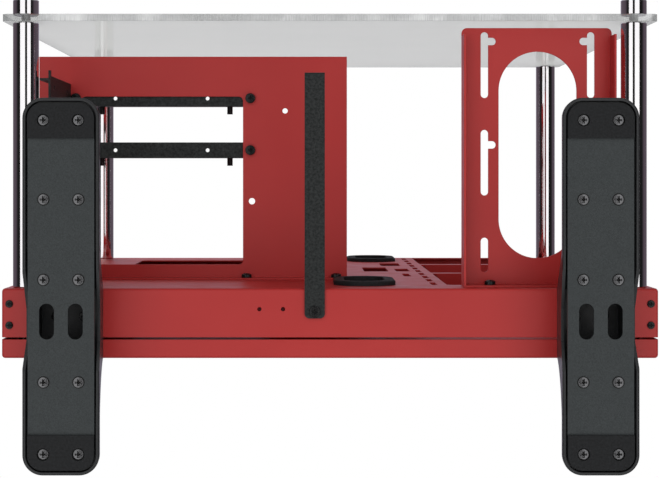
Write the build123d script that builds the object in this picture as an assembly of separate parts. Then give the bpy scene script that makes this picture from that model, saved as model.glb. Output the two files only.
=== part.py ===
from build123d import *
import os
from math import atan2, degrees

# Upright open-frame computer chassis, in millimetres.
# X runs to the right seen from the front, Y to the back and Z up.
# The origin is on the floor under the middle of the overall box.

# Overall size
width = 470.0
height = 512.0
depth = 333.0

# Sheet metal
sheet = 1.2
bracket_sheet = 1.5
bend_radius = 2.4
bracket_bend = 2.2

# Clearances
thread_gap = 0.3
hole_gap = 0.4

# Tray: an open-backed pan with an in-turned rear rim
tray_depth = 35.0
tray_rim = 15.0
tray_corner = 2.0

# Rear cover: a shallow lid behind a shadow gap, screwed to pillars on the tray's rim
cover_gap = 1.5
cover_depth = 13.5
pillar_diameter = 8.0
pillar_end_height = 50.0
pillar_rivet = 3.2
cover_screw_diameter = 3.0
cover_screw_length = 8.0
cover_head_diameter = 8.5
cover_head_height = 2.6

# Distance posts with their caps and screws
post_diameter = 18.6
post_length = 191.5
post_inset_x = 15.0
post_inset_z = 14.0
post_chamfer = 0.8
stud_diameter = 6.0
stud_depth = 12.0
bore_spare = 2.0
cap_height = 11.5
post_head_diameter = 11.0
post_head_height = 4.0

# Clear front panel
panel_thickness = 5.0
panel_corner = 5.5

# Radiator windows in the tray: from the middle to the right wall, and from the lower wall to the upper one
window_left = 87.0
window_right_inset = 41.0
window_bottom = 40.0
lower_window_height = 147.0
middle_window_height = 127.0
window_top_inset = 10.0
window_bar = 12.0
window_corner = 4.0
bar_return = 10.0
radiator_slot_width = 4.5
radiator_slot_length = 28.0
radiator_slot_pitch = 42.0
radiator_slot_first = 54.0
radiator_slot_offset = 9.0

# Main board: cut-out behind the processor and holes for its standoffs, down from the tray's upper edge
cutout_left = -177.0
cutout_width = 116.0
cutout_top_inset = 54.0
cutout_height = 108.0
cutout_corner = 8.0
board_hole_left = -205.5
board_hole_left_pitch = 157.48
board_hole_right_pitch = 63.5
board_hole_top_inset = 42.32
board_hole_upper_pitch = 154.94
board_hole_lower_pitch = 129.54
board_hole_shelf_gap = 4.0
board_hole_diameter = 3.2

# Rubber cable grommets
grommet_width = 46.0
grommet_height = 72.0
grommet_corner = 21.0
grommet_lip = 8.0
grommet_seat = 4.0
grommet_proud = 3.5
grommet_back = 2.0
grommet_round = 1.6
lower_grommet_x = 26.2
lower_grommet_up = 60.0
upper_grommet_x = 44.3
upper_grommet_down = 52.0

# Plain cable holes beside the board: centre across, centre down from the upper edge, width, height
cable_holes = (
    (42.1, 213.5, 21.0, 63.0),
    (58.9, 132.5, 18.0, 45.0),
    (65.0, 223.5, 12.0, 40.0),
    (64.5, 296.5, 6.0, 36.0),
)
cable_hole_corner = 2.9

# Small holes in the tray's bottom wall, beside the strap
wall_hole_diameter = 3.0
wall_hole_offsets = (39.6, 22.7)
wall_hole_setback = 14.8

# Screws at the ends of the tray's bottom wall
corner_screw_inset = 5.5
corner_screw_setbacks = (11.0, 26.3)
corner_screw_diameter = 2.8
corner_screw_length = 7.0
corner_head_diameter = 5.4
corner_head_height = 1.4

# Common bracket screws
screw_diameter = 3.8
screw_reach = 5.0
screw_head_diameter = 8.0
screw_head_height = 3.4

# Shelf above the power supply: places across are from its left end, places along are from the tray
shelf_inset = 8.2
shelf_width = 241.3
shelf_height = 160.0
shelf_reach = 174.5
shelf_flange = 11.0
shelf_screw_places = (36.8, 162.8, 232.8)
shelf_window_inset = 32.8
shelf_window_width = 127.0
shelf_window_setback = 11.5
shelf_window_depth = 131.7
shelf_window_corner = 3.5
shelf_holes = ((192.8, 132.0, 4.2), (166.8, 61.1, 5.0))

# Card rails across the shelf's window
rail_inset = 22.8
rail_length = 149.0
rail_width = 12.3
rail_sheet = 1.5
rail_flange = 14.0
rail_setback = 141.8
rail_pitch = 40.64
rail_hole_diameter = 3.0
rail_holes = (36.7, 109.1)
rail_thumb_inset = 6.2
thumb_head_diameter = 8.0
thumb_head_height = 4.0
thumb_diameter = 3.4
thumb_spare = 2.5
card_screw_places = (25.3, 126.3)
card_screw_diameter = 4.6
card_screw_reach = 6.0
card_screw_rise = 6.5
card_head_diameter = 8.4
card_head_height = 3.0

# Power supply bracket and the strap under the power supply
bracket_inset = 32.9
bracket_bottom = 62.5
bracket_reach = 153.0
bracket_flange = 14.0
bracket_flange_bottom = 82.0
bracket_relief = 3.0
bracket_screw_spread = 40.0
bracket_tab = 4.0
bracket_lip = 6.5
bracket_lip_setback = 1.6
supply_width = 150.0
supply_height = 86.0
supply_bottom = 64.0
supply_back_gap = 1.5
supply_hole_diameter = 4.2
supply_holes = ((144.0, 80.0), (6.0, 80.0), (6.0, 16.0), (120.0, 6.0))
supply_rim_side = 16.0
supply_rim_end = 4.0
supply_corner_width = 38.0
supply_corner_height = 13.0
strap_inset = 224.0
strap_width = 14.5
strap_thickness = 2.0
strap_front_gap = 1.0
strap_back = 21.3
strap_screw_setback = 16.5
strap_corner = 3.5
strap_lip = 20.0
strap_head_height = 1.8

# Pump bracket: a channel that opens downward, closed at the tray
pump_inset = 28.0
pump_width = 110.2
pump_rise = 29.0
pump_flange = 19.0
pump_front_gap = 2.4
pump_flange_setback = 6.1
pump_corner = 4.0
pump_pattern_inset = 55.8
pump_oval_width = 57.2
pump_oval_length = 151.5
pump_oval_setback = 20.3
pump_slot_width = 5.5
pump_slot_pitch = 78.0
pump_slots = ((161.95, 48.3), (90.35, 48.1), (22.65, 25.3))
pump_branches = (179.3, 103.4)
pump_branch_reach = 8.3
pump_screw_inset = 19.8

# Feet
foot_height = 50.0
foot_length = 259.0
foot_width = 53.0
foot_top_width = 45.6
foot_corner = 14.0
foot_inset = 50.0
foot_lift = 0.8
foot_bar = 9.0
foot_wall = 2.2
foot_roof = 2.4
foot_round = 1.5
foot_rim_round = 1.2
foot_front_slope = 28.5
foot_rear_slope = 36.0
foot_rear_sag = 5.5
foot_upper_tilt = 0.2
notch_lead = 16.7
notch_tail = 3.7
notch_flat_lead = 11.5
notch_flat_tail = 16.5
notch_height = 13.0
plate_gap = 1.5
plate_thickness = 2.0
pad_thickness = 2.0
pad_length = 24.2
pad_screw_gap = 0.6
foot_screw_pitch = 24.0
front_pad_screw_inset = 15.5
rear_pad_screw_inset = 14.7
bar_screw_lead = 64.2
pedestal_screw_lead = 9.1
pedestal_screw_tail = 11.1
foot_screw_diameter = 3.2
foot_head_diameter = 7.4
foot_head_height = 1.4
foot_boss_diameter = 8.6
foot_screw_spare = 0.8
foot_slot_width = 10.3
foot_slot_length = 24.7
foot_slot_spread = 19.7
foot_slot_setback = 19.5
foot_bolt_diameter = 4.0
foot_bolt_reach = 6.0
foot_bolt_head_diameter = 7.6
foot_bolt_head_height = 2.6

# Places that follow from the driving sizes
cap_front = -depth / 2
panel_front = cap_front + cap_height
panel_back = panel_front + panel_thickness
tray_front = panel_back + post_length
tray_back = tray_front + tray_depth
cover_front = tray_back + cover_gap
cover_back = cover_front + cover_depth
tray_bottom = foot_height
tray_height = height - foot_height
tray_middle = tray_bottom + tray_height / 2
half_width = width / 2
post_x = half_width - post_inset_x
post_low = tray_bottom + post_inset_z
post_high = height - post_inset_z
stud_hole = stud_diameter + 2 * thread_gap
screw_hole = screw_diameter + hole_gap
window_right = half_width - window_right_inset
window_width = window_right - window_left
slot_run = tray_height - window_top_inset - radiator_slot_first - radiator_slot_length / 2
radiator_slot_count = int(slot_run // radiator_slot_pitch) + 1
shelf_left = shelf_inset - half_width
shelf_right = shelf_left + shelf_width
shelf_top = shelf_height + bracket_sheet
rail_left = shelf_left + rail_inset
rail_first = tray_front - rail_setback
rail_bottom = shelf_top
rail_top = rail_bottom + rail_sheet
bracket_face = bracket_inset - half_width
bracket_front = tray_front - bracket_reach
bracket_flange_top = shelf_height - shelf_flange - bracket_relief
supply_front = tray_front - supply_back_gap - supply_width
strap_x = strap_inset - half_width
pump_right = half_width - pump_inset
pump_left = pump_right - pump_width
pump_middle = pump_left + pump_pattern_inset
pump_web = tray_bottom + pump_rise
pump_low = pump_web - pump_flange
foot_rear = depth / 2
foot_front = foot_rear - foot_length
foot_middle = (foot_front + foot_rear) / 2
foot_x = half_width - foot_inset
plate_bottom = pad_thickness
plate_top = plate_bottom + plate_thickness
plate_width = foot_width - 2 * (foot_wall + plate_gap)
plate_length = foot_length - 2 * (foot_wall + plate_gap)
plate_corner = foot_corner - foot_wall - plate_gap


def block(x_range, y_range, z_range):
    """A box between two values on each axis."""
    lows = (x_range[0], y_range[0], z_range[0])
    highs = (x_range[1], y_range[1], z_range[1])
    sizes = [high - low for low, high in zip(lows, highs)]
    middles = [(high + low) / 2 for low, high in zip(lows, highs)]
    return Pos(*middles) * Box(*sizes)


def plate_along_x(outline, x_low, x_high):
    """An outline drawn in Y and Z, thickened from x_low to x_high."""
    return extrude(Plane.YZ.offset(x_low) * outline, x_high - x_low)


def plate_along_y(outline, y_low, y_high):
    """An outline drawn in X and Z, thickened from y_low to y_high."""
    return extrude(Plane.XZ.offset(-y_high) * outline, y_high - y_low)


def plate_along_z(outline, z_low, z_high):
    """An outline drawn in X and Y, thickened from z_low to z_high."""
    return extrude(Plane.XY.offset(z_low) * outline, z_high - z_low)


def at(across, up, shape):
    """A flat shape moved to its place in a drawing plane."""
    return Pos(across, up) * shape


def rectangle(low, high):
    """A flat rectangle between two corners."""
    middle = [(a + b) / 2 for a, b in zip(low, high)]
    return at(*middle, Rectangle(high[0] - low[0], high[1] - low[1]))


def upright_slot(length, slot_width):
    """A round-ended slot that is long in the drawing's second direction."""
    return Rot(0, 0, 90) * SlotOverall(length, slot_width)


def total(shapes):
    """Several shapes joined into one."""
    first, *others = shapes
    return first + others if others else first


def mirrored_pair(value):
    return (-value, value)


def screw_along_y(x, z, seat, direction, head, shank):
    """A round-headed screw on the Y axis: its head's face sits at seat, its shank runs in direction."""
    head_size, head_height = head
    shank_size, shank_length = shank
    head_ends = sorted((seat, seat - direction * head_height))
    shank_ends = sorted((seat, seat + direction * shank_length))
    body = plate_along_y(at(x, z, Circle(head_size / 2)), *head_ends)
    return body + plate_along_y(at(x, z, Circle(shank_size / 2)), *shank_ends)


def screw_along_z(x, y, seat, direction, head, shank):
    """The same screw on the Z axis."""
    head_size, head_height = head
    shank_size, shank_length = shank
    head_ends = sorted((seat, seat - direction * head_height))
    shank_ends = sorted((seat, seat + direction * shank_length))
    body = plate_along_z(at(x, y, Circle(head_size / 2)), *head_ends)
    return body + plate_along_z(at(x, y, Circle(shank_size / 2)), *shank_ends)


def bolts(places):
    """Round holes for the common bracket screws, as one flat shape."""
    return total([at(a, b, Circle(screw_hole / 2)) for a, b in places])


def save(name, shape):
    """Writes one node, with a group of like pieces as separate solids."""
    solids = shape if isinstance(shape, list) else [shape]
    solids = [solid for piece in solids for solid in piece.solids()]
    content = solids[0] if len(solids) == 1 else Compound(children=solids)
    content.label = name
    export_step(content, f"parts/{name}.step")


post_places = {
    f"{level}_{side}": (x, z)
    for level, z in (("lower", post_low), ("upper", post_high))
    for side, x in (("left", -post_x), ("right", post_x))
}
grommet_places = {
    "lower_grommet": (lower_grommet_x, tray_bottom + lower_grommet_up),
    "upper_grommet": (upper_grommet_x, height - upper_grommet_down),
}
board_hole_xs = (
    board_hole_left,
    board_hole_left + board_hole_left_pitch,
    board_hole_left + board_hole_left_pitch + board_hole_right_pitch,
)
board_hole_top = height - board_hole_top_inset
board_hole_zs = (
    board_hole_top - board_hole_upper_pitch - board_hole_lower_pitch,
    board_hole_top - board_hole_upper_pitch,
    board_hole_top,
)
board_hole_lowest = shelf_top + board_hole_shelf_gap + board_hole_diameter / 2
board_hole_places = [(x, z) for x in board_hole_xs for z in board_hole_zs if z > board_hole_lowest]
pillar_places = [
    (x, z)
    for x in mirrored_pair(half_width - tray_rim / 2)
    for z in (tray_bottom + pillar_end_height, tray_middle, height - pillar_end_height)
]
corner_screw_places = [
    (x, tray_front + setback)
    for x in mirrored_pair(half_width - corner_screw_inset)
    for setback in corner_screw_setbacks
]
shelf_screw_level = shelf_height - shelf_flange / 2
shelf_screws = [(shelf_left + place, shelf_screw_level) for place in shelf_screw_places]
bracket_screw_x = bracket_face - bracket_sheet - bracket_flange / 2
bracket_screw_middle = (bracket_flange_bottom + bracket_flange_top) / 2
bracket_screws = [
    (bracket_screw_x, bracket_screw_middle + offset)
    for offset in mirrored_pair(bracket_screw_spread / 2)
]
pump_screw_level = pump_web - pump_flange / 2
pump_screws = [
    (pump_left + pump_screw_inset, pump_screw_level),
    (pump_right - pump_screw_inset, pump_screw_level),
]
strap_screw_place = (strap_x, tray_front + strap_screw_setback)
foot_xs = {"left": -foot_x, "right": foot_x}
foot_bolt_y = tray_front + foot_slot_setback
foot_bolts = {
    side: [(x + offset, foot_bolt_y) for offset in mirrored_pair(foot_slot_spread / 2)]
    for side, x in foot_xs.items()
}
foot_screw_ys = (
    foot_front + front_pad_screw_inset,
    tray_front - bar_screw_lead,
    tray_front - pedestal_screw_lead,
    cover_back + pedestal_screw_tail,
    foot_rear - rear_pad_screw_inset,
)
foot_screws = {
    side: [(x + offset, y) for offset in mirrored_pair(foot_screw_pitch / 2) for y in foot_screw_ys]
    for side, x in foot_xs.items()
}
rail_rows = {"front_card_rail": rail_first, "rear_card_rail": rail_first + rail_pitch}
thumb_xs = (rail_left + rail_thumb_inset, rail_left + rail_length - rail_thumb_inset)
thumb_places = [(x, y) for y in rail_rows.values() for x in thumb_xs]


def window_spans():
    """Lower and upper edges of the radiator windows, from the bottom up."""
    spans = []
    low = tray_bottom + window_bottom
    for tall in (lower_window_height, middle_window_height):
        spans.append((low, low + tall))
        low += tall + window_bar
    return spans + [(low, height - window_top_inset)]


def tray_front_openings():
    """Everything cut through the tray's front face, as one flat shape."""
    shapes = []
    for low, high in window_spans():
        hole = RectangleRounded(window_width, high - low, window_corner)
        shapes.append(at((window_left + window_right) / 2, (low + high) / 2, hole))
    slot = Rectangle(radiator_slot_width, radiator_slot_length)
    for x in (window_left - radiator_slot_offset, window_right + radiator_slot_offset):
        for index in range(radiator_slot_count):
            up = radiator_slot_first + index * radiator_slot_pitch
            shapes.append(at(x, tray_bottom + up, slot))
    cutout = RectangleRounded(cutout_width, cutout_height, cutout_corner)
    cutout_up = height - cutout_top_inset - cutout_height / 2
    shapes.append(at(cutout_left + cutout_width / 2, cutout_up, cutout))
    for x, z in grommet_places.values():
        shapes.append(at(x, z, grommet_outline(grommet_seat)))
    for x, down, wide, tall in cable_holes:
        shapes.append(at(x, height - down, RectangleRounded(wide, tall, cable_hole_corner)))
    shapes += [at(x, z, Circle(stud_hole / 2)) for x, z in post_places.values()]
    shapes += [at(x, z, Circle(board_hole_diameter / 2)) for x, z in board_hole_places]
    shapes.append(bolts(shelf_screws + bracket_screws + pump_screws))
    return total(shapes)


def make_tray():
    """One folded sheet: front face, four walls, rear rim and the window bars' returns."""
    xs = mirrored_pair(half_width)
    zs = (tray_bottom, height)
    pan = block(xs, (tray_front, tray_back), zs)
    pan = fillet(pan.edges().filter_by(Axis.Y), tray_corner)
    pan = fillet(pan.faces().sort_by(Axis.Y)[0].edges(), bend_radius)
    inside = [(low + sheet, high - sheet) for low, high in (xs, zs)]
    mouth = [(low + tray_rim, high - tray_rim) for low, high in (xs, zs)]
    pan -= block(inside[0], (tray_front + sheet, tray_back - sheet), inside[1])
    pan -= block(mouth[0], (tray_back - sheet, tray_back), mouth[1])
    pan -= plate_along_y(tray_front_openings(), tray_front, tray_front + sheet)

    return_xs = (window_left + window_corner, window_right - window_corner)
    return_ys = (tray_front + sheet, tray_front + bar_return)
    spans = window_spans()
    for below, above in zip(spans, spans[1:]):
        pan += block(return_xs, return_ys, (below[1], below[1] + sheet))
        pan += block(return_xs, return_ys, (above[0] - sheet, above[0]))

    bottom_holes = [at(*strap_screw_place, Circle(screw_hole / 2))]
    corner_hole = Circle(corner_screw_diameter / 2 + hole_gap / 2)
    bottom_holes += [at(x, y, corner_hole) for x, y in corner_screw_places]
    wall_hole = Circle(wall_hole_diameter / 2)
    for offset in wall_hole_offsets:
        bottom_holes.append(at(strap_x - offset, tray_front + wall_hole_setback, wall_hole))
    for places in foot_bolts.values():
        bottom_holes += [at(x, y, Circle(foot_bolt_diameter / 2 + hole_gap / 2)) for x, y in places]
    pan -= plate_along_z(total(bottom_holes), tray_bottom, tray_bottom + sheet)
    rivet = Circle(pillar_rivet / 2 + hole_gap / 2)
    rivets = total([at(x, z, rivet) for x, z in pillar_places])
    return pan - plate_along_y(rivets, tray_back - sheet, tray_back)


def make_rear_cover():
    """A lid with a rim all round and a screw hole over each pillar."""
    xs = mirrored_pair(half_width)
    zs = (tray_bottom, height)
    lid = block(xs, (cover_front, cover_back), zs)
    lid = fillet(lid.edges().filter_by(Axis.Y), tray_corner)
    lid = fillet(lid.faces().sort_by(Axis.Y)[-1].edges(), bend_radius)
    inside = [(low + sheet, high - sheet) for low, high in (xs, zs)]
    lid -= block(inside[0], (cover_front, cover_back - sheet), inside[1])
    hole = Circle(cover_screw_diameter / 2 + hole_gap / 2)
    holes = total([at(x, z, hole) for x, z in pillar_places])
    return lid - plate_along_y(holes, cover_back - sheet, cover_back)


def make_cover_pillars():
    """Threaded pillars riveted to the tray's rear rim."""
    pillars = []
    bore_front = cover_back - sheet - cover_screw_length
    for x, z in pillar_places:
        pillar = plate_along_y(at(x, z, Circle(pillar_diameter / 2)), tray_back, cover_back - sheet)
        pillar += plate_along_y(at(x, z, Circle(pillar_rivet / 2)), tray_back - sheet, tray_back)
        bore = at(x, z, Circle(cover_screw_diameter / 2 + thread_gap))
        pillars.append(pillar - plate_along_y(bore, bore_front, cover_back - sheet))
    return pillars


def make_post(x, z):
    """A round post with a threaded bore in each end."""
    post = plate_along_y(at(x, z, Circle(post_diameter / 2)), panel_back, tray_front)
    post = chamfer(post.edges(), post_chamfer)
    bore = at(x, z, Circle(stud_hole / 2))
    bore_depth = stud_depth + bore_spare
    post -= plate_along_y(bore, panel_back, panel_back + bore_depth)
    return post - plate_along_y(bore, tray_front - bore_depth, tray_front)


def make_post_cap(x, z):
    """A plain cap whose stud goes through the panel into the post."""
    cap = plate_along_y(at(x, z, Circle(post_diameter / 2)), cap_front, panel_front)
    cap = chamfer(cap.edges(), post_chamfer)
    stud = at(x, z, Circle(stud_diameter / 2))
    return cap + plate_along_y(stud, panel_front, panel_back + stud_depth)


def make_front_panel():
    """A clear sheet with rounded corners and a hole for each stud."""
    outline = RectangleRounded(width, tray_height, panel_corner)
    outline = at(0, tray_middle, outline)
    for x, z in post_places.values():
        outline -= at(x, z, Circle(stud_hole / 2))
    return plate_along_y(outline, panel_front, panel_back)


def make_shelf():
    """A sheet bent down at the tray, with a square window and small holes."""
    xs = (shelf_left, shelf_right)
    web = (shelf_height, shelf_top)
    fold = block(xs, (tray_front - shelf_reach, tray_front), web)
    fold += block(xs, (tray_front - bracket_sheet, tray_front), (shelf_height - shelf_flange, shelf_height))
    outer_bend = fold.edges().filter_by(Axis.X).sort_by(Axis.Y).group_by(Axis.Y)[-1].sort_by(Axis.Z)[-1]
    fold = fillet(outer_bend, bracket_bend)

    window = RectangleRounded(shelf_window_width, shelf_window_depth, shelf_window_corner)
    window_y = tray_front - shelf_window_setback - shelf_window_depth / 2
    window_x = shelf_left + shelf_window_inset + shelf_window_width / 2
    holes = [at(window_x, window_y, window)]
    for along, setback, size in shelf_holes:
        holes.append(at(shelf_left + along, tray_front - setback, Circle(size / 2)))
    holes += [at(x, y, Circle(thumb_diameter / 2 + thread_gap)) for x, y in thumb_places]
    fold -= plate_along_z(total(holes), *web)
    return fold - plate_along_y(bolts(shelf_screws), tray_front - bracket_sheet, tray_front)


def make_card_rail(y):
    """An angle: a flat leg on the shelf and an upright leg that takes the card screws."""
    xs = (rail_left, rail_left + rail_length)
    back = y + rail_width / 2
    rail = block(xs, (y - rail_width / 2, back), (rail_bottom, rail_top))
    rail += block(xs, (back - rail_sheet, back), (rail_top, rail_bottom + rail_flange))
    holes = [at(rail_left + place, y, Circle(rail_hole_diameter / 2)) for place in rail_holes]
    holes += [at(x, y, Circle(thumb_diameter / 2 + thread_gap)) for x in thumb_xs]
    rail -= plate_along_z(total(holes), rail_bottom, rail_top)
    hole = Circle(card_screw_diameter / 2 + thread_gap)
    level = rail_top + card_screw_rise
    holes = total([at(rail_left + place, level, hole) for place in card_screw_places])
    return rail - plate_along_y(holes, back - rail_sheet, back)


def make_card_screws():
    """Screws through the rails' upright legs, with their ends toward the tray."""
    screws = []
    for y in rail_rows.values():
        seat = y + rail_width / 2 - rail_sheet
        for place in card_screw_places:
            head = (card_head_diameter, card_head_height)
            shank = (card_screw_diameter, rail_sheet + card_screw_reach)
            level = rail_top + card_screw_rise
            screws.append(screw_along_y(rail_left + place, level, seat, 1, head, shank))
    return screws


def make_psu_bracket():
    """An upright plate with the opening and holes of a power supply, flanged at the tray and in front."""
    back = tray_front - bracket_sheet
    plate = rectangle((bracket_front, bracket_bottom), (tray_front, shelf_height))
    tab_low = (bracket_front - bracket_tab, bracket_bottom)
    plate += rectangle(tab_low, (bracket_front, bracket_bottom + bracket_tab))
    plate -= rectangle((back - bracket_relief, bracket_flange_top), (tray_front, shelf_height))
    opening = rectangle(
        (supply_front + supply_rim_side, supply_bottom + supply_rim_end),
        (supply_front + supply_width - supply_rim_side, supply_bottom + supply_height - supply_rim_end),
    )
    kept_corner = rectangle(
        (supply_front + supply_width - supply_corner_width, supply_bottom),
        (supply_front + supply_width, supply_bottom + supply_corner_height),
    )
    plate -= opening - kept_corner
    for along, up in supply_holes:
        plate -= at(supply_front + along, supply_bottom + up, Circle(supply_hole_diameter / 2))
    outer = bracket_face - bracket_sheet
    flange = block(
        (outer - bracket_flange, outer),
        (back, tray_front),
        (bracket_flange_bottom, bracket_flange_top),
    )
    flange -= plate_along_y(bolts(bracket_screws), back, tray_front)
    lip_front = bracket_front + bracket_lip_setback
    lip = block(
        (outer - bracket_lip, outer),
        (lip_front, lip_front + bracket_sheet),
        (bracket_bottom, bracket_flange_top),
    )
    return plate_along_x(plate, outer, bracket_face) + flange + lip


def make_strap():
    """A flat bar under the power supply with its front end turned up."""
    front = supply_front - strap_front_gap - strap_thickness
    back = tray_front + strap_back
    xs = (strap_x - strap_width / 2, strap_x + strap_width / 2)
    bar = block(xs, (front, back), (tray_bottom - strap_thickness, tray_bottom))
    bar = fillet(bar.edges().filter_by(Axis.Z).group_by(Axis.Y)[-1], strap_corner)
    bar += block(xs, (front, front + strap_thickness), (tray_bottom, tray_bottom + strap_lip))
    bend = bar.edges().filter_by(Axis.X).group_by(Axis.Z)[0].sort_by(Axis.Y)[0]
    bar = fillet(bend, bracket_bend)
    hole = at(*strap_screw_place, Circle(screw_hole / 2))
    return bar - plate_along_z(hole, tray_bottom - strap_thickness, tray_bottom)


def pump_slot_shapes():
    """Straight slots in two columns, with branches that point at each other."""
    shapes = []
    for side in (-1, 1):
        x = pump_middle + side * pump_slot_pitch / 2
        for setback, length in pump_slots:
            shapes.append(at(x, tray_front - setback, upright_slot(length, pump_slot_width)))
        branch_length = pump_branch_reach + pump_slot_width / 2
        branch_x = x - side * (branch_length - pump_slot_width) / 2
        for setback in pump_branches:
            shapes.append(at(branch_x, tray_front - setback, SlotOverall(branch_length, pump_slot_width)))
    return shapes


def make_pump_bracket():
    """A sheet folded down on three sides, with slots for pumps and reservoirs."""
    front = panel_back + pump_front_gap
    inner = tray_front - bracket_sheet
    web = (pump_web, pump_web + bracket_sheet)
    fold = block((pump_left, pump_right), (front, tray_front), web)
    fold = fillet(fold.edges().filter_by(Axis.Z).group_by(Axis.Y)[0], pump_corner)
    flange_ys = (front + pump_flange_setback, tray_front)
    for x in (pump_left, pump_right - bracket_sheet):
        fold += block((x, x + bracket_sheet), flange_ys, (pump_low, pump_web))
    fold += block((pump_left, pump_right), (inner, tray_front), (pump_low, pump_web))
    top_edges = fold.faces().sort_by(Axis.Z)[-1].edges().filter_by(Axis.X).sort_by(Axis.Y)
    fold = fillet(top_edges[-1], bracket_bend)

    oval_y = tray_front - pump_oval_setback - pump_oval_length / 2
    holes = [at(pump_middle, oval_y, upright_slot(pump_oval_length, pump_oval_width))]
    fold -= plate_along_z(total(holes + pump_slot_shapes()), *web)
    return fold - plate_along_y(bolts(pump_screws), inner, tray_front)


def grommet_outline(inset):
    """The grommet's rounded outline, drawn in by inset on every side."""
    return RectangleRounded(
        grommet_width - 2 * inset,
        grommet_height - 2 * inset,
        grommet_corner - inset,
    )


def make_grommet(x, z):
    """A rubber ring with a groove that grips the edge of the tray's hole."""
    front = tray_front - grommet_proud
    ring = plate_along_y(at(x, z, grommet_outline(0)), front, tray_front)
    ring = fillet(ring.faces().sort_by(Axis.Y)[0].edges(), grommet_round)
    neck = at(x, z, grommet_outline(grommet_seat + thread_gap))
    ring += plate_along_y(neck, tray_front, tray_front + sheet)
    back = tray_front + sheet + grommet_back
    ring += plate_along_y(at(x, z, grommet_outline(grommet_seat / 2)), tray_front + sheet, back)
    return ring - plate_along_y(at(x, z, grommet_outline(grommet_lip)), front, back)


def foot_profile(drop):
    """Side view of a foot: a low bar with a pedestal that carries the tray, lowered by drop."""
    low = foot_bar - drop
    high = foot_height - drop
    slope_front = (tray_front - foot_front_slope, low)
    slope_rear = (cover_back + foot_rear_slope, low)
    sag = ((cover_back + slope_rear[0]) / 2 - foot_rear_sag, (low + high) / 2 - foot_rear_sag)
    rear_slope = ThreePointArc((cover_back, high), sag, slope_rear)
    edges = Polyline(
        slope_rear,
        (foot_rear, low),
        (foot_rear, 0),
        (foot_front, 0),
        (foot_front, low),
        slope_front,
        (tray_front, high),
        (cover_back, high),
    )
    return make_face([*edges.edges(), rear_slope])


def foot_form(x, inset, drop):
    """A foot's tapered outer form, drawn in by inset and lowered by drop."""
    outline = RectangleRounded(foot_width - 2 * inset, foot_length - 2 * inset, foot_corner - inset)
    rise = foot_height - foot_lift
    taper = degrees(atan2((foot_width - foot_top_width) / 2, rise))
    start = Plane.XY.offset(foot_lift) * at(x, foot_middle, outline)
    form = extrude(start, rise, taper=taper)
    return form & plate_along_x(foot_profile(drop), x - foot_width, x + foot_width)


def upper_edges(form):
    """The edges where a foot's upper faces meet its walls."""
    upper = [face for face in form.faces() if face.normal_at().Z > foot_upper_tilt]
    edges = [edge for face in upper for edge in face.edges()]
    return [edge for edge in edges if sum(edge.is_same(other) for other in edges) == 1]


def notch_cuts(x):
    """The arches in the lower edges of a foot's two side walls."""
    notch_front = tray_front - notch_lead
    notch_rear = cover_back + notch_tail
    arch = Polyline(
        (notch_front, 0),
        (notch_front, foot_lift),
        (tray_front + notch_flat_lead, notch_height),
        (cover_back - notch_flat_tail, notch_height),
        (notch_rear, foot_lift),
        (notch_rear, 0),
        (notch_front, 0),
    )
    arch = make_face(arch)
    cuts = []
    for side in (-1, 1):
        ends = sorted((x + side * plate_width / 2, x + side * foot_width))
        cuts.append(plate_along_x(arch, *ends))
    return cuts


def make_foot_shell(side):
    """A moulded foot: outer form, hollow below, with a boss over each screw."""
    x = foot_xs[side]
    outer = foot_form(x, 0, 0)
    outer = fillet(upper_edges(outer), foot_round)
    outer = fillet(outer.faces().sort_by(Axis.Z)[0].edges(), foot_rim_round)
    shell = outer - foot_form(x, foot_wall, foot_roof)
    bosses = total([at(a, b, Circle(foot_boss_diameter / 2)) for a, b in foot_screws[side]])
    shell += plate_along_z(bosses, plate_top, foot_height) & outer
    bores = total([at(a, b, Circle(foot_screw_diameter / 2 + thread_gap)) for a, b in foot_screws[side]])
    shell -= plate_along_z(bores, plate_top, foot_bar - foot_screw_spare)
    bolt = Circle(foot_bolt_diameter / 2 + hole_gap / 2)
    holes = total([at(a, b, bolt) for a, b in foot_bolts[side]])
    shell -= plate_along_z(holes, foot_height - foot_roof, foot_height)
    for cut in notch_cuts(x):
        shell -= cut
    return shell


def plate_outline(x):
    """The outline of a foot's bottom plate."""
    return at(x, foot_middle, RectangleRounded(plate_width, plate_length, plate_corner))


def make_foot_plate(side):
    """The flat plate that closes a foot, with two slots over the tray screws."""
    x = foot_xs[side]
    outline = plate_outline(x)
    for place in foot_screws[side]:
        outline -= at(*place, Circle(foot_screw_diameter / 2 + thread_gap))
    for place in foot_bolts[side]:
        outline -= at(*place, upright_slot(foot_slot_length, foot_slot_width))
    return plate_along_z(outline, plate_bottom, plate_top)


def make_foot_pad(side, y_low, y_high):
    """A rubber pad under one end of a plate, open round the screw heads."""
    x = foot_xs[side]
    strip = rectangle((x - plate_width, y_low), (x + plate_width, y_high))
    outline = plate_outline(x) & strip
    for a, b in foot_screws[side]:
        if y_low < b < y_high:
            outline -= at(a, b, Circle(foot_head_diameter / 2 + pad_screw_gap))
    return plate_along_z(outline, 0, pad_thickness)


def bracket_screw(x, z):
    """A bracket screw driven from the front into the tray."""
    head = (screw_head_diameter, screw_head_height)
    shank = (screw_diameter, bracket_sheet + screw_reach)
    return screw_along_y(x, z, tray_front - bracket_sheet, 1, head, shank)


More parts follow.
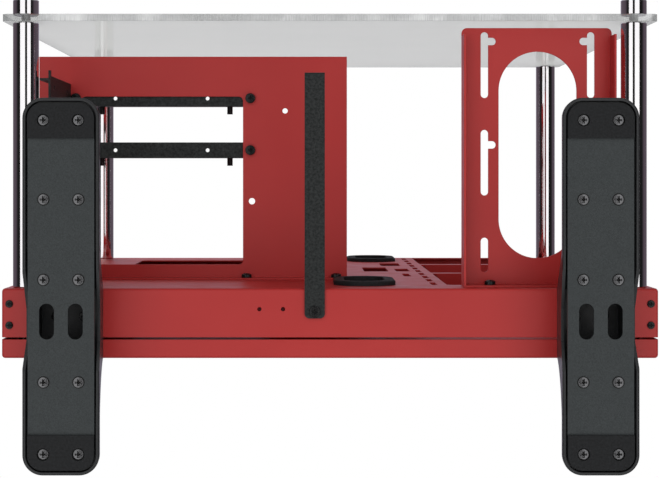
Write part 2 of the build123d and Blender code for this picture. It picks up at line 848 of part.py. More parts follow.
def save_frame():
    """The tray, its cover, the posts and the clear panel."""
    save("tray", make_tray())
    save("rear_cover", make_rear_cover())
    save("cover_pillars", make_cover_pillars())
    cover_head = (cover_head_diameter, cover_head_height)
    cover_shank = (cover_screw_diameter, cover_screw_length)
    cover_screws = [
        screw_along_y(*place, cover_back, -1, cover_head, cover_shank) for place in pillar_places
    ]
    save("cover_screws", cover_screws)
    for name, place in post_places.items():
        save(f"{name}_post", make_post(*place))
        save(f"{name}_post_cap", make_post_cap(*place))
    post_head = (post_head_diameter, post_head_height)
    post_shank = (stud_diameter, sheet + stud_depth)
    seat = tray_front + sheet
    post_screws = [
        screw_along_y(*place, seat, -1, post_head, post_shank) for place in post_places.values()
    ]
    save("post_screws", post_screws)
    save("front_panel", make_front_panel())
    corner_head = (corner_head_diameter, corner_head_height)
    corner_shank = (corner_screw_diameter, corner_screw_length)
    corner_screws = [
        screw_along_z(*place, tray_bottom, 1, corner_head, corner_shank) for place in corner_screw_places
    ]
    save("tray_corner_screws", corner_screws)


def save_fittings():
    """What is fastened to the tray."""
    save("psu_shelf", make_shelf())
    save("shelf_screws", [bracket_screw(*place) for place in shelf_screws])
    for name, y in rail_rows.items():
        save(name, make_card_rail(y))
    thumb_head = (thumb_head_diameter, thumb_head_height)
    thumb_shank = (thumb_diameter, bracket_sheet + rail_sheet + thumb_spare)
    thumbscrews = [screw_along_z(*place, shelf_height, 1, thumb_head, thumb_shank) for place in thumb_places]
    save("rail_thumbscrews", thumbscrews)
    save("card_screws", make_card_screws())
    save("psu_bracket", make_psu_bracket())
    save("psu_bracket_screws", [bracket_screw(*place) for place in bracket_screws])
    save("psu_strap", make_strap())
    strap_head = (screw_head_diameter, strap_head_height)
    strap_shank = (screw_diameter, strap_thickness + screw_reach)
    strap_seat = tray_bottom - strap_thickness
    save("strap_screw", screw_along_z(*strap_screw_place, strap_seat, 1, strap_head, strap_shank))
    save("pump_bracket", make_pump_bracket())
    save("pump_bracket_screws", [bracket_screw(*place) for place in pump_screws])
    for name, place in grommet_places.items():
        save(name, make_grommet(*place))


def save_foot(side):
    """One foot with its plate, pads and screws."""
    save(f"{side}_foot_shell", make_foot_shell(side))
    save(f"{side}_foot_plate", make_foot_plate(side))
    plate_front = foot_middle - plate_length / 2
    plate_rear = foot_middle + plate_length / 2
    save(f"{side}_front_foot_pad", make_foot_pad(side, plate_front, plate_front + pad_length))
    save(f"{side}_rear_foot_pad", make_foot_pad(side, plate_rear - pad_length, plate_rear))
    head = (foot_head_diameter, foot_head_height)
    shank = (foot_screw_diameter, foot_bar - plate_bottom - 2 * foot_screw_spare)
    screws = [screw_along_z(*place, plate_bottom, 1, head, shank) for place in foot_screws[side]]
    save(f"{side}_foot_plate_screws", screws)
    head = (foot_bolt_head_diameter, foot_bolt_head_height)
    shank = (foot_bolt_diameter, foot_roof + foot_bolt_reach)
    bolts_up = [screw_along_z(*place, foot_height - foot_roof, 1, head, shank) for place in foot_bolts[side]]
    save(f"{side}_foot_tray_screws", bolts_up)


os.makedirs("parts", exist_ok=True)
save_frame()
save_fittings()
for foot_side in foot_xs:
    save_foot(foot_side)
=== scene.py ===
import math

import bmesh
import bpy
from mathutils import Matrix, Vector


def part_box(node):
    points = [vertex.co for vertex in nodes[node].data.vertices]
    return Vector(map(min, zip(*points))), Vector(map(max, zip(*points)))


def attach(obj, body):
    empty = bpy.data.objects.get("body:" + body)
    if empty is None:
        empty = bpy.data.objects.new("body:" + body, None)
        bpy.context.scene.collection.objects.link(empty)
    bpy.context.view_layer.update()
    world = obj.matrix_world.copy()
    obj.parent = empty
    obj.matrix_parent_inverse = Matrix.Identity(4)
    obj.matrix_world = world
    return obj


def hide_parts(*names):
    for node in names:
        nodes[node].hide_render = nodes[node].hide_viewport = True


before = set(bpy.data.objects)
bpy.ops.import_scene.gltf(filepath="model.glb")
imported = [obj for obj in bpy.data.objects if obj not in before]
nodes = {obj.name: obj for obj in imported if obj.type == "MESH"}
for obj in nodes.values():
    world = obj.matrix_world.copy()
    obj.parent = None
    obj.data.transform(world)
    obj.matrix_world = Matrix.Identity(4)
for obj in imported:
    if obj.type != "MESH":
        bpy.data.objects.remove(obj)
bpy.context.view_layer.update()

# Upright open-frame computer chassis, seen from below as in the photograph.
# All places are in metres, X to the right, Y to the back and Z up.
MM = 0.001
scene = bpy.context.scene

# Photograph: its frame, the point where the optical axis meets it, and the focal length, in pixels
photo_width = 659
photo_height = 478
axis_x = 311.2
axis_y = 182.1
focal_pixels = 1588
camera_place = Vector((-13.5, -34.6, -1086)) * MM
sensor_width = 36

# Light of the studio; a panel below the object is given by its span along X
ambient_level = 0.28
panel_radiance = 1.16
panel_length = 2.4
panel_level = -1.1
left_panel = (-1.3, -0.2)
right_panel = (0.2, 1.2)
fill_panel = (-0.2, 0.2)
top_panels = {"top_left": ((-0.8, -0.8, 1.8), 20.0), "top_right": ((1.1, 0.9, 1.3), 10.0)}
top_panel_size = (1.0, 1.0)
object_middle = (0, 0, 0.25)
floor_radius = 4.0
floor_tone = 0.88

# Fine forms of the pieces
sharp_angle = math.radians(32)
sheet_rounding = 0.8 * MM
panel_chamfer = 0.45 * MM
post_segments = 96
post_bevel = 0.8 * MM
stud_radius = 3.0 * MM
stud_pitch = 1.0 * MM
stud_thread = 0.3 * MM
stud_start = 0.2 * MM
screw_segments = 48
screw_pitch = 0.7 * MM
screw_thread = 0.25 * MM
screw_start = 0.05 * MM
head_edge = 0.12 * MM
rib_depth = 0.25 * MM
# Rings of a screw recess that take the painted shade
shaded_recess_levels = 2


# Mesh helpers

def new_piece(name, bm, material, slot, *replaced):
    """Turns a mesh into a piece of the object that rides on the body."""
    bmesh.ops.recalc_face_normals(bm, faces=bm.faces)
    mesh = bpy.data.meshes.new(name)
    bm.to_mesh(mesh)
    bm.free()
    piece = bpy.data.objects.new(name, mesh)
    scene.collection.objects.link(piece)
    mesh.materials.append(material)
    smooth_by_angle(piece)
    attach(piece, "root")
    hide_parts(*replaced)
    return piece


def smooth_by_angle(piece):
    """Smooth shading, with edges over the sharp angle left sharp."""
    mesh = piece.data
    mesh.polygons.foreach_set("use_smooth", [True] * len(mesh.polygons))
    bm = bmesh.new()
    bm.from_mesh(mesh)
    for edge in bm.edges:
        edge.smooth = len(edge.link_faces) == 2 and edge.calc_face_angle(0) < sharp_angle
    bm.to_mesh(mesh)
    bm.free()


def solid_boxes(node):
    """The lowest and highest corner of each separate solid of a node."""
    mesh = nodes[node].data
    parents = {}

    def root(key):
        while parents[key] != key:
            parents[key] = parents[parents[key]]
            key = parents[key]
        return key

    keys = [tuple(round(value / MM, 3) for value in vertex.co) for vertex in mesh.vertices]
    for key in keys:
        parents.setdefault(key, key)
    for polygon in mesh.polygons:
        first, *others = [root(keys[index]) for index in polygon.vertices]
        for other in others:
            parents[root(other)] = root(first)
    groups = {}
    for key in parents:
        groups.setdefault(root(key), []).append(key)
    boxes = []
    for group in groups.values():
        low = Vector(map(min, zip(*group))) * MM
        high = Vector(map(max, zip(*group))) * MM
        boxes.append((low, high))
    return sorted(boxes, key=lambda box: tuple(box[0]))


def ring(radius, up, count):
    """Points round the Z axis; radius is a number or a function of the angle."""
    points = []
    for index in range(count):
        angle = 2 * math.pi * index / count
        reach = radius(angle) if callable(radius) else radius
        points.append(Vector((reach * math.cos(angle), reach * math.sin(angle), up)))
    return points


def skin(bm, rings, matrix, painted_shade_levels=()):
    """Joins rings of points one after another and closes both ends; the levels given take a second material,
    the painted shade.
    """
    loops = [[bm.verts.new(matrix @ point) for point in points] for points in rings]
    for level, (lower, upper) in enumerate(zip(loops, loops[1:])):
        count = len(lower)
        for index in range(count):
            after = (index + 1) % count
            face = bm.faces.new((lower[index], lower[after], upper[after], upper[index]))
            face.material_index = 1 if level in painted_shade_levels else 0
    bm.faces.new(loops[0]).material_index = 1 if 0 in painted_shade_levels else 0
    bm.faces.new(loops[-1])


def cross_recess(arm_length, arm_half_width):
    """Radius of a cross-shaped outline at an angle."""

    def reach(angle):
        best = 0.0
        for arm in range(4):
            turn = angle - arm * math.pi / 2
            along = math.cos(turn)
            across = abs(math.sin(turn))
            if along > 1e-6:
                best = max(best, min(arm_length / along, arm_half_width / max(across, 1e-9)))
        return best

    return reach


def hex_recess(half_flats):
    """Radius of a hexagon at an angle."""
    sector = math.pi / 3
    return lambda angle: half_flats / math.cos((angle % sector) - sector / 2)


def knurl(radius, depth, count):
    """Radius of a ribbed round grip at an angle."""
    return lambda angle: radius - depth * abs(math.sin(angle * count / 2))


def scaled(radius, factor):
    """A radius, or a radius function, made smaller or larger."""
    if callable(radius):
        return lambda angle: radius(angle) * factor
    return radius * factor


def thread_rings(radius, depth, pitch, low, high, count):
    """Rings of a screw thread between two heights, from high to low."""
    steps = max(4, int((high - low) / pitch * 4))
    rings = []
    for step in range(steps + 1):
        up = high + (low - high) * step / steps

        def reach(angle, up=up):
            phase = (up / pitch + angle / (2 * math.pi)) % 1
            return radius - depth * abs(2 * phase - 1)

        rings.append(ring(reach, up, count))
    return rings


def axis_matrix(place, direction):
    """Places a shape drawn along +Z so that its top faces in a direction."""
    turn = Vector(direction).to_track_quat("Z", "Y").to_matrix().to_4x4()
    return Matrix.Translation(place) @ turn


# Material helpers

class Nodes:
    """A short way to write a node tree."""

    def __init__(self, tree):
        self.tree = tree
        tree.nodes.clear()

    def add(self, kind, **settings):
        node = self.tree.nodes.new(kind)
        for key, value in settings.items():
            setattr(node, key, value)
        return node

    def link(self, source, target):
        self.tree.links.new(source, target)

    def feed(self, source, target):
        """Gives an input a plain value, or the output of another node."""
        if isinstance(source, bpy.types.NodeSocket):
            self.link(source, target)
        else:
            target.default_value = source


def object_points(net):
    return net.add("ShaderNodeTexCoord").outputs["Object"]


def noise(net, scale, detail=2.0, roughness=0.5, stretch=None):
    """A noise texture in the object's own metres, stretched along an axis where asked."""
    texture = net.add("ShaderNodeTexNoise")
    texture.inputs["Scale"].default_value = scale
    texture.inputs["Detail"].default_value = detail
    texture.inputs["Roughness"].default_value = roughness
    points = object_points(net)
    if stretch:
        mapping = net.add("ShaderNodeMapping")
        mapping.inputs["Scale"].default_value = stretch
        net.link(points, mapping.inputs["Vector"])
        points = mapping.outputs["Vector"]
    net.link(points, texture.inputs["Vector"])
    return texture.outputs["Fac"]


def grey(level):
    return (level, level, level)


def ramp(net, value, *stops):
    """A colour ramp; each stop is a place and a colour or a grey."""
    node = net.add("ShaderNodeValToRGB")
    elements = node.color_ramp.elements
    while len(elements) < len(stops):
        elements.new(0.5)
    for element, (place, colour) in zip(elements, stops):
        element.position = place
        element.color = (*(colour if isinstance(colour, tuple) else grey(colour)), 1)
    net.link(value, node.inputs["Fac"])
    return node.outputs["Color"]


def bump(net, height, strength, distance, normal=None):
    node = net.add("ShaderNodeBump")
    node.inputs["Strength"].default_value = strength
    node.inputs["Distance"].default_value = distance
    net.link(height, node.inputs["Height"])
    if normal:
        net.link(normal, node.inputs["Normal"])
    return node.outputs["Normal"]


def calculate(net, operation, *values):
    """A sum on numbers and outputs of other nodes."""
    node = net.add("ShaderNodeMath", operation=operation)
    for value, socket in zip(values, node.inputs):
        net.feed(value, socket)
    return node.outputs["Value"]


def mix_colours(net, share, first, second):
    """Goes from the first colour to the second; each is a plain colour or an output."""
    node = net.add("ShaderNodeMix", data_type="RGBA")
    net.link(share, node.inputs["Factor"])
    net.feed(first, node.inputs[6])
    net.feed(second, node.inputs[7])
    return node.outputs[2]


def mix_shaders(net, share, first, second):
    """Goes from the first shader to the second."""
    node = net.add("ShaderNodeMixShader")
    net.link(share, node.inputs["Fac"])
    net.link(first, node.inputs[1])
    net.link(second, node.inputs[2])
    return node.outputs["Shader"]


def empty_material(name):
    material = bpy.data.materials.new(name)
    material.use_nodes = True
    return material, Nodes(material.node_tree)


def set_surface(net, shader):
    output = net.add("ShaderNodeOutputMaterial")
    net.link(shader, output.inputs["Surface"])


def start_material(name):
    material, net = empty_material(name)
    shader = net.add("ShaderNodeBsdfPrincipled")
    set_surface(net, shader.outputs["BSDF"])
    return material, net, shader


def set_inputs(shader, **values):
    for key, value in values.items():
        shader.inputs[key.replace("_", " ")].default_value = value


# Materials

def red_powder():
    """Satin red powder coat: a fine orange peel, soft sheet edges, and a slow drift of tone."""
    material, net, shader = start_material("red_powder_coat")
    tone = ramp(net, noise(net, 9, 3), (0.3, (0.405, 0.022, 0.021)), (0.7, (0.455, 0.027, 0.025)))
    net.link(tone, shader.inputs["Base Color"])
    peel = noise(net, 900, 2)
    gloss = ramp(net, noise(net, 60, 3), (0.3, 0.36), (0.7, 0.44))
    net.link(gloss, shader.inputs["Roughness"])
    edges = net.add("ShaderNodeBevel", samples=4)
    edges.inputs["Radius"].default_value = sheet_rounding
    net.link(bump(net, peel, 0.10, 0.0004, edges.outputs["Normal"]), shader.inputs["Normal"])
    set_inputs(shader, Specular_IOR_Level=0.33)
    return material


def black_powder():
    """Black powder coat with a fine sandy texture."""
    material, net, shader = start_material("black_powder_coat")
    grain = noise(net, 560, 4, 0.75)
    tone = ramp(net, grain, (0.36, (0.004, 0.005, 0.005)), (0.64, (0.028, 0.031, 0.031)))
    net.link(tone, shader.inputs["Base Color"])
    set_inputs(shader, Roughness=0.55, Specular_IOR_Level=0.25)
    net.link(bump(net, grain, 0.6, 0.0004), shader.inputs["Normal"])
    return material


def chrome():
    """Polished chrome with faint turning marks along the post."""
    material, net, shader = start_material("polished_chrome")
    marks = noise(net, 500, 2, 0.5, (1, 0.02, 1))
    rough = ramp(net, marks, (0.35, 0.045), (0.65, 0.09))
    net.link(rough, shader.inputs["Roughness"])
    tone = ramp(net, noise(net, 30, 2), (0.3, (0.82, 0.80, 0.82)), (0.7, (0.88, 0.86, 0.87)))
    net.link(tone, shader.inputs["Base Color"])
    set_inputs(shader, Metallic=1.0)
    return material


def acrylic_face(net, outer):
    """Clear straight on, and milky at a low angle, where light from behind spreads in the sheet."""
    weight = net.add("ShaderNodeLayerWeight")
    weight.inputs["Blend"].default_value = 0.5
    net.link(bump(net, noise(net, 40, 2), 0.01, 0.0005), weight.inputs["Normal"])
    slant = weight.outputs["Facing"]
    clear = net.add("ShaderNodeBsdfTransparent")
    clear.inputs["Color"].default_value = (0.96, 0.965, 0.965, 1)
    milk = net.add("ShaderNodeBsdfTranslucent")
    milk_tone = ramp(net, noise(net, 14, 3), (0.3, (0.505, 0.507, 0.500)), (0.7, (0.516, 0.516, 0.508)))
    net.link(milk_tone, milk.inputs["Color"])
    milk_share = ramp(net, slant, (0.0, 0.0), (0.78, 0.02), (0.88, 0.88))
    mirrored = net.add("ShaderNodeLightPath").outputs["Is Glossy Ray"]
    outer_milk = calculate(net, "MULTIPLY", milk_share, outer)
    direct_milk = calculate(net, "MULTIPLY", outer_milk, calculate(net, "SUBTRACT", 1, mirrored))
    milky = mix_shaders(net, direct_milk, clear.outputs["BSDF"], milk.outputs["BSDF"])
    gloss = net.add("ShaderNodeBsdfGlossy")
    gloss.inputs["Roughness"].default_value = 0.05
    gloss_share = ramp(net, slant, (0.0, 0.05), (0.6, 0.09), (0.85, 0.14))
    return mix_shaders(net, calculate(net, "MULTIPLY", gloss_share, outer), milky, gloss.outputs["BSDF"])


def acrylic_edge(net, outer, corner):
    """Frost under fine upright saw marks; its patchy tone is partly painted reflection from inside the sheet,
    and painted shade darkens it round the corners.
    """
    # Patches of lighter and darker frost: painted reflection from inside the sheet.
    painted_reflection_patches = noise(net, 26, 3, 0.55)
    marks = noise(net, 900, 2, 0.6, (1, 0.05, 1))
    frost_and_reflection_tone = ramp(net, painted_reflection_patches, (0.36, 0.24), (0.5, 0.39), (0.68, 0.78))
    # Painted shade: darker where the edge turns round a corner.
    painted_corner_shade = ramp(net, corner, (0.04, 0.0), (0.3, 0.85))
    edge_tone = mix_colours(net, painted_corner_shade, frost_and_reflection_tone, (0.08, 0.08, 0.08, 1))
    frost = net.add("ShaderNodeBsdfDiffuse")
    net.link(edge_tone, frost.inputs["Color"])
    net.link(bump(net, marks, 0.3, 0.0003), frost.inputs["Normal"])
    frost_share = ramp(net, marks, (0.3, 0.4), (0.7, 0.62))
    through = net.add("ShaderNodeBsdfTransparent")
    through.inputs["Color"].default_value = (0.7, 0.71, 0.71, 1)
    outer_frost = calculate(net, "MULTIPLY", frost_share, outer)
    return mix_shaders(net, outer_frost, through.outputs["BSDF"], frost.outputs["BSDF"])


def acrylic_chamfer(net):
    """Polished, with a dark colour painted on as the dark reflection in a chamfer, so that a chamfer reads as
    a dark line.
    """
    line = net.add("ShaderNodeBsdfPrincipled")
    set_inputs(line, Base_Color=(0.1, 0.105, 0.105, 1), Roughness=0.2, IOR=1.49)
    return line.outputs["BSDF"]


def clear_acrylic():
    """Clear acrylic: see-through faces, polished chamfers painted dark as a dark reflection, and sawn edges,
    told apart by the way they face.
    """
    material, net = empty_material("clear_acrylic")
    geometry = net.add("ShaderNodeNewGeometry")
    outer = calculate(net, "SUBTRACT", 1, geometry.outputs["Backfacing"])
    normal = net.add("ShaderNodeSeparateXYZ")
    net.link(geometry.outputs["True Normal"], normal.inputs["Vector"])
    # How far an edge turns round a corner, which sets the painted shade on the edges.
    turned = calculate(net, "MULTIPLY", normal.outputs["X"], normal.outputs["Z"])
    corner = calculate(net, "ABSOLUTE", turned)
    facing = calculate(net, "ABSOLUTE", normal.outputs["Y"])
    shader = acrylic_edge(net, outer, corner)
    for limit, flatter in ((0.3, acrylic_chamfer(net)), (0.9, acrylic_face(net, outer))):
        above = calculate(net, "GREATER_THAN", facing, limit)
        shader = mix_shaders(net, above, shader, flatter)
    set_surface(net, shader)
    return material


def moulded_plastic(name, dark, light, rough, grain_scale, grain_depth):
    """Black moulded plastic with a spark-eroded grain."""
    material, net, shader = start_material(name)
    grain = noise(net, grain_scale, 3, 0.6)
    tone = ramp(net, grain, (0.32, dark), (0.68, light))
    net.link(tone, shader.inputs["Base Color"])
    gloss = ramp(net, noise(net, 120, 3), (0.3, rough - 0.05), (0.7, rough + 0.05))
    net.link(gloss, shader.inputs["Roughness"])
    set_inputs(shader, Specular_IOR_Level=0.32)
    net.link(bump(net, grain, 0.35, grain_depth), shader.inputs["Normal"])
    return material


def rubber():
    """Matt black rubber, slightly dusty."""
    material, net, shader = start_material("black_rubber")
    dust = noise(net, 700, 4, 0.65)
    tone = ramp(net, dust, (0.35, (0.009, 0.0095, 0.010)), (0.75, (0.020, 0.021, 0.023)))
    net.link(tone, shader.inputs["Base Color"])
    set_inputs(shader, Roughness=0.75, Specular_IOR_Level=0.25)
    net.link(bump(net, dust, 0.25, 0.0002), shader.inputs["Normal"])
    return material


def screw_metal(name, tone, rough, metallic):
    """Plated screw metal with fine wear."""
    material, net, shader = start_material(name)
    wear = noise(net, 1400, 3, 0.6)
    low = tuple(value * 0.8 for value in tone)
    high = tuple(value * 1.25 for value in tone)
    net.link(ramp(net, wear, (0.35, low), (0.7, high)), shader.inputs["Base Color"])
    net.link(ramp(net, wear, (0.3, rough - 0.06), (0.7, rough + 0.06)), shader.inputs["Roughness"])
    set_inputs(shader, Metallic=metallic, Specular_IOR_Level=0.3)
    return material


post_chrome = chrome()
black_screw = screw_metal("black_screw", (0.006, 0.006, 0.0065), 0.28, 0.0)
# Painted shade: a near-black that stands in for the shade in screw recesses and round the foot plate screw
# heads.
painted_shade_black = screw_metal("painted_shade_black", grey(0.008), 0.6, 0.0)
dark_zinc = screw_metal("dark_zinc", (0.155, 0.155, 0.16), 0.28, 1.0)
foot_plastic = moulded_plastic(
    "foot_plastic", (0.015, 0.016, 0.017), (0.028, 0.029, 0.031), 0.33, 1500, 0.00012
)
plate_plastic = moulded_plastic(
    "foot_plate", (0.022, 0.026, 0.027), (0.040, 0.047, 0.049), 0.5, 1300, 0.0002
)
pads = [f"{side}_{end}_foot_pad" for side in ("left", "right") for end in ("front", "rear")]
node_materials = {
    red_powder(): ("tray", "rear_cover", "psu_shelf", "pump_bracket"),
    black_powder(): ("front_card_rail", "rear_card_rail", "psu_bracket", "psu_strap"),
    clear_acrylic(): ("front_panel",),
    foot_plastic: ("left_foot_shell", "right_foot_shell"),
    plate_plastic: ("left_foot_plate", "right_foot_plate"),
    rubber(): (*pads, "lower_grommet", "upper_grommet"),
    screw_metal("zinc_steel", (0.45, 0.45, 0.46), 0.32, 1.0): ("cover_pillars",),
}
for material, names in node_materials.items():
    for name in names:
        nodes[name].data.materials.clear()
        nodes[name].data.materials.append(material)


# Clear panel

def chamfer_panel():
    """Small chamfers on all edges of the sheet."""
    panel = nodes["front_panel"]
    weld = panel.modifiers.new("weld", "WELD")
    weld.merge_threshold = 0.001 * MM
    chamfer = panel.modifiers.new("chamfer", "BEVEL")
    chamfer.width = panel_chamfer
    chamfer.segments = 1
    chamfer.limit_method = "ANGLE"
    chamfer.angle_limit = math.radians(60)


# Posts and their caps

def bar_rings(radius, length, first, last):
    """Rings of a round bar with bevelled ends, from its far end, between two smaller radii."""
    levels = (
        (first, length),
        (radius - post_bevel, length),
        (radius, length - post_bevel),
        (radius, post_bevel),
        (radius - post_bevel, 0),
        (last, 0),
    )
    return [ring(reach, up, post_segments) for reach, up in levels]


def make_post(name):
    """A round post, and its cap with a threaded stud in front of the clear panel."""
    low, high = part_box(name)
    radius = (high.x - low.x) / 2
    place = Vector(((low.x + high.x) / 2, low.y, (low.z + high.z) / 2))
    bm = bmesh.new()
    skin(bm, bar_rings(radius, high.y - low.y, radius * 0.4, radius * 0.4), axis_matrix(place, (0, 1, 0)))
    new_piece(f"{name}_turned", bm, post_chrome, "chrome", name)

    cap = f"{name}_cap"
    cap_low, cap_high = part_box(cap)
    panel_low, panel_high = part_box("front_panel")
    height = low.y - (panel_high.y - panel_low.y) - cap_low.y
    seat = Vector((place.x, cap_low.y + height, place.z))
    stud_end = -(cap_high.y - seat.y)
    bm = bmesh.new()
    rings = bar_rings(radius, height, radius * 0.3, stud_radius)
    rings += thread_rings(stud_radius, stud_thread, stud_pitch, stud_end, -stud_start, post_segments)
    skin(bm, rings, axis_matrix(seat, (0, -1, 0)))
    new_piece(f"{cap}_turned", bm, post_chrome, "chrome", cap)


# Screws

def screw_form(recess, metal=black_screw, ribs=0, painted_shadow_ring=(), **sizes):
    """A screw's recess, metal, grip ribs and a thin black ring of painted shadow round its head, with its
    sizes in millimetres.
    """
    form = {name: size * MM for name, size in sizes.items()}
    form.update(recess=recess, metal=metal, ribs=ribs)
    form["painted_shadow_ring"] = [(reach * MM, up * MM) for reach, up in painted_shadow_ring]
    return form


def head_rings(radius, height, crown, recess, depth):
    """Rings of a screw head from its recess outward and down to its seat, which is at height 0."""
    count = screw_segments
    rings = [
        ring(scaled(recess, 0.55), height - depth, count),
        ring(scaled(recess, 0.8), height - depth * 0.8, count),
        ring(recess, height - head_edge * 0.5, count),
        ring(scaled(recess, 1.06), height, count),
    ]
    reach = radius(0) if callable(radius) else radius
    for share in (0.62, 0.8, 0.92):
        rings.append(ring(reach * share, height - crown * share ** 2, count))
    rings.append(ring(scaled(radius, 0.985), height - crown - head_edge, count))
    rings.append(ring(radius, height - crown - 2 * head_edge, count))
    rings.append(ring(radius, head_edge, count))
    rings.append(ring(scaled(radius, 0.97), 0, count))
    return rings


def make_screws(node, direction, form):
    """Screws with a recess, in the place of a node's plain ones; direction is where the heads face."""
    facing = Vector(direction)
    height = form["height"]
    outer = knurl(form["head"], rib_depth, form["ribs"]) if form["ribs"] else form["head"]
    bm = bmesh.new()
    for low, high in solid_boxes(node):
        span = abs(facing.dot(high - low))
        tip = (low + high) / 2 - facing * span / 2
        seat = tip + facing * (span - height)
        rings = head_rings(outer, height, form["crown"], form["recess"], form["depth"])
        # Rings of the thin black ring round the head, which is painted shadow of a countersink.
        shadow_ring_level = len(rings) - 1
        rings += [ring(reach, up, screw_segments) for reach, up in form["painted_shadow_ring"]]
        shadow_ring_levels = range(shadow_ring_level, shadow_ring_level + len(form["painted_shadow_ring"]))
        tip_level = height - span
        rings += thread_rings(
            form["shank"], screw_thread, screw_pitch, tip_level, -screw_start, screw_segments
        )
        # The recess rings and the ring round the head take the painted shade material.
        skin(bm, rings, axis_matrix(seat, facing), (*range(shaded_recess_levels), *shadow_ring_levels))
    screws = new_piece(f"{node}_detailed", bm, form["metal"], "black_screw", node)
    screws.data.materials.append(painted_shade_black)


def make_all_screws():
    """Every screw of the object, by the way its head faces and its form."""
    down = (0, 0, -1)
    front = (0, -1, 0)
    back = (0, 1, 0)
    cross = cross_recess(2.1 * MM, 0.5 * MM)
    small_cross = cross_recess(1.7 * MM, 0.42 * MM)
    tiny_cross = cross_recess(1.3 * MM, 0.36 * MM)
    deep_cross = cross_recess(2.5 * MM, 0.62 * MM)
    # Painted shadow: a thin black ring round each foot plate screw head stands in for the shade of a
    # countersink.
    foot_shadow_ring = ((3.62, 0.06), (4.2, 0.06), (4.25, 0.0))
    plate_screw = screw_form(
        deep_cross, dark_zinc, painted_shadow_ring=foot_shadow_ring, head=3.7, height=1.4, crown=0.3, depth=1.9, shank=1.6
    )
    foot_screw = screw_form(cross, head=3.8, height=2.6, crown=0.3, depth=1.4, shank=2.0)
    corner_screw = screw_form(tiny_cross, head=2.7, height=1.4, crown=0.3, depth=0.8, shank=1.4)
    strap_screw = screw_form(cross, head=4.0, height=1.8, crown=0.3, depth=1.1, shank=1.9)
    pan_screw = screw_form(cross, head=4.0, height=3.4, crown=0.9, depth=1.6, shank=1.9)
    cover_screw = screw_form(hex_recess(1.6 * MM), head=4.25, height=2.6, crown=0.8, depth=1.5, shank=1.5)
    post_screw = screw_form(hex_recess(2.5 * MM), head=5.5, height=4.0, crown=0.4, depth=2.4, shank=3.0)
    thumb_screw = screw_form(small_cross, ribs=24, head=4.0, height=4.0, crown=0.3, depth=1.2, shank=1.7)
    card_screw = screw_form(cross, head=4.2, height=3.0, crown=0.7, depth=1.4, shank=2.3)
    for side in ("left", "right"):
        make_screws(f"{side}_foot_plate_screws", down, plate_screw)
        make_screws(f"{side}_foot_tray_screws", down, foot_screw)
    make_screws("tray_corner_screws", down, corner_screw)
    make_screws("strap_screw", down, strap_screw)
    for holder in ("shelf", "psu_bracket", "pump_bracket"):
        make_screws(f"{holder}_screws", front, pan_screw)
    make_screws("cover_screws", back, cover_screw)
    make_screws("post_screws", back, post_screw)
    make_screws("rail_thumbscrews", down, thumb_screw)
    make_screws("card_screws", front, card_screw)


chamfer_panel()
for level in ("lower", "upper"):
    for side in ("left", "right"):
        make_post(f"{level}_{side}_post")
make_all_screws()


# Stage, light and camera

def make_floor():
    """A pale floor that shows from above only, so that the underside can be seen and lit."""
    bm = bmesh.new()
    bmesh.ops.create_circle(bm, cap_ends=True, segments=96, radius=floor_radius)
    mesh = bpy.data.meshes.new("floor")
    bm.to_mesh(mesh)
    bm.free()
    floor = bpy.data.objects.new("floor", mesh)
    scene.collection.objects.link(floor)
    material, net = empty_material("pale_floor")
    paint = net.add("ShaderNodeBsdfDiffuse")
    paint.inputs["Color"].default_value = (*grey(floor_tone), 1)
    clear = net.add("ShaderNodeBsdfTransparent")
    distance = net.add("ShaderNodeVectorMath", operation="LENGTH")
    net.link(object_points(net), distance.inputs[0])
    share = calculate(net, "DIVIDE", distance.outputs["Value"], floor_radius)
    hidden = ramp(net, share, (0.12, 0.0), (0.5, 1.0))
    path = net.add("ShaderNodeLightPath")
    below = net.add("ShaderNodeNewGeometry").outputs["Backfacing"]
    others = [path.outputs[name] for name in ("Is Shadow Ray", "Is Diffuse Ray", "Is Glossy Ray")]
    for other in (below, *others):
        hidden = calculate(net, "MAXIMUM", hidden, other)
    set_surface(net, mix_shaders(net, hidden, paint.outputs["BSDF"], clear.outputs["BSDF"]))
    mesh.materials.append(material)


def room_in_metal(net):
    """What polished metal mirrors: a dark room with a bright ceiling, and paler at its two ends."""
    way = net.add("ShaderNodeSeparateXYZ")
    net.link(net.add("ShaderNodeTexCoord").outputs["Generated"], way.inputs["Vector"])
    down = calculate(net, "MULTIPLY", way.outputs["Z"], -1)
    turn = calculate(net, "ABSOLUTE", calculate(net, "ARCTAN2", way.outputs["X"], down))
    room = ramp(
        net,
        calculate(net, "DIVIDE", turn, math.pi),
        (0.0, 0.012),
        (0.38, 0.012),
        (0.5, (0.088, 0.069, 0.085)),
        (0.84, (0.13, 0.104, 0.126)),
        (0.92, (0.44, 0.41, 0.5)),
        (1.0, (0.46, 0.43, 0.53)),
    )
    rise = net.add("ShaderNodeMapRange")
    rise.inputs["From Min"].default_value = -1
    net.link(way.outputs["Z"], rise.inputs["Value"])
    hall = ramp(net, rise.outputs["Result"], (0.0, 0.5), (0.46, 0.42), (0.5, 0.1), (0.62, 0.4), (1.0, 0.7))
    ends = ramp(net, calculate(net, "ABSOLUTE", way.outputs["Y"]), (0.3, 0.0), (0.7, 1.0))
    return mix_colours(net, ends, room, hall)


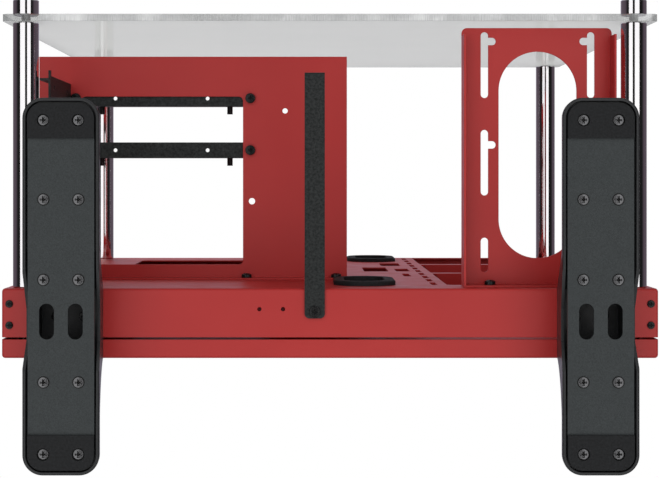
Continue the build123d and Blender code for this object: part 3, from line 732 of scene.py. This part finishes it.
def make_world():
    """White to the eye, even light on matt surfaces, and a dark room in polished ones."""
    world = bpy.data.worlds.new("studio")
    scene.world = world
    world.use_nodes = True
    net = Nodes(world.node_tree)
    path = net.add("ShaderNodeLightPath")
    ambient = (*grey(ambient_level), 1)
    light = mix_colours(net, path.outputs["Is Glossy Ray"], ambient, room_in_metal(net))
    seen = calculate(net, "MAXIMUM", path.outputs["Is Camera Ray"], path.outputs["Is Transmission Ray"])
    background = net.add("ShaderNodeBackground")
    net.link(mix_colours(net, seen, light, (1, 1, 1, 1)), background.inputs["Color"])
    output = net.add("ShaderNodeOutputWorld")
    net.link(background.outputs["Background"], output.inputs["Surface"])


def make_panel(name, place, target, size, power):
    """A soft rectangular lamp aimed at a point."""
    lamp = bpy.data.lights.new(name, "AREA")
    lamp.shape = "RECTANGLE"
    lamp.size, lamp.size_y = size
    lamp.energy = power
    panel = bpy.data.objects.new(name, lamp)
    scene.collection.objects.link(panel)
    panel.location = place
    panel.rotation_euler = (Vector(target) - Vector(place)).to_track_quat("-Z", "Y").to_euler()
    panel.visible_camera = False
    return panel


def make_under_panel(name, span):
    """A long panel below the object, seen in polished metal as a white band."""
    low, high = span
    middle = (low + high) / 2
    power = math.pi * panel_radiance * (high - low) * panel_length
    return make_panel(name, (middle, 0, panel_level), (middle, 0, 0), (high - low, panel_length), power)


def make_lamps():
    """White panels below, and softer light from below and above that polished metal doesn't mirror."""
    make_under_panel("under_left", left_panel)
    make_under_panel("under_right", right_panel)
    make_under_panel("under_fill", fill_panel).visible_glossy = False
    for name, (place, power) in top_panels.items():
        make_panel(name, place, object_middle, top_panel_size, power).visible_glossy = False


def make_camera():
    """The photograph's camera: under the object, looking straight up."""
    data = bpy.data.cameras.new("camera")
    data.sensor_width = sensor_width
    data.lens = sensor_width * focal_pixels / photo_width
    data.shift_x = (photo_width / 2 - axis_x) / photo_width
    data.shift_y = (axis_y - photo_height / 2) / photo_width
    data.clip_start = 0.01
    data.clip_end = 100
    camera = bpy.data.objects.new("camera", data)
    scene.collection.objects.link(camera)
    camera.location = camera_place
    camera.rotation_euler = (math.pi, 0, 0)
    scene.camera = camera


make_floor()
make_world()
make_lamps()
make_camera()
scene.view_settings.view_transform = "Standard"
